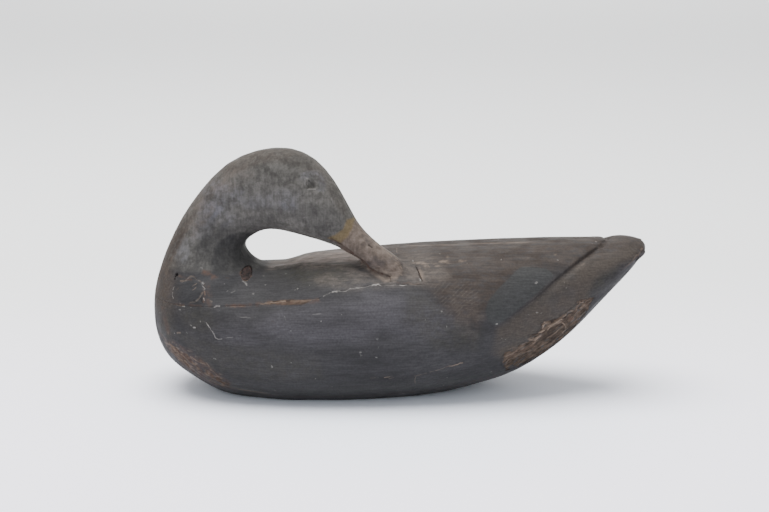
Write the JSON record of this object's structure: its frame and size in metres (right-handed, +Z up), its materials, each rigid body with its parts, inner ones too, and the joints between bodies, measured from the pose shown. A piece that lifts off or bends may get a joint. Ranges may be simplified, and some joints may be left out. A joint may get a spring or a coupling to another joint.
{
  "type": "bird decoy",
  "caption": "Carved and painted wooden duck decoy, preening: a flat-bottomed body, and a head bent back with the bill resting on the back.",
  "frame": {"origin": "middle of the decoy's length and width, on the flat surface that it stands on", "axes": "+X from the breast to the tail, +Z up, the bill on the side towards -Y"},
  "size_m": [0.4, 0.1624, 0.1985],
  "materials": {
    "body_paint": "old dark grey-black paint, worn thin over wood",
    "head_paint": "rubbed grey-brown paint over wood",
    "plug_wood": "stained bare wood"
  },
  "bodies": {
    "root": {"body": "body_paint", "head": "head_paint", "neck_plug": "plug_wood"}
  },
  "joints": []
}
